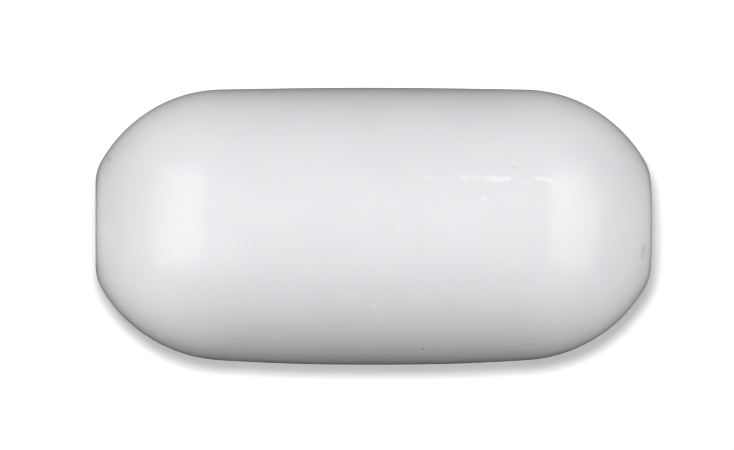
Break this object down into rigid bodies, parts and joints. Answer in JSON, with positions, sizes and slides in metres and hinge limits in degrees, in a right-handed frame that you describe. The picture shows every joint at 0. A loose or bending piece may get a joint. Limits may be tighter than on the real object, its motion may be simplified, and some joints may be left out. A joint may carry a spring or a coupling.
{
  "type": "magnetic stir bar",
  "caption": "Plain magnetic stir bar: a rod magnet sealed in a smooth white barrel-shaped jacket with rounded ends, spun by a turning field to stir a liquid.",
  "frame": {"origin": "centre of the lower end face, on the surface that the bar stands on", "axes": "+Z along the bar's axis, up to the other end face; the bar is the same turned end for end"},
  "size_m": [0.008, 0.008, 0.016],
  "materials": {
    "white_fluoropolymer": "white PTFE, smooth and glossy as moulded, lightly scuffed",
    "cast_magnet_alloy": "grey cast Alnico, ground on its round and its ends"
  },
  "bodies": {
    "root": {"jacket": "white_fluoropolymer", "magnet": "cast_magnet_alloy"}
  },
  "joints": []
}
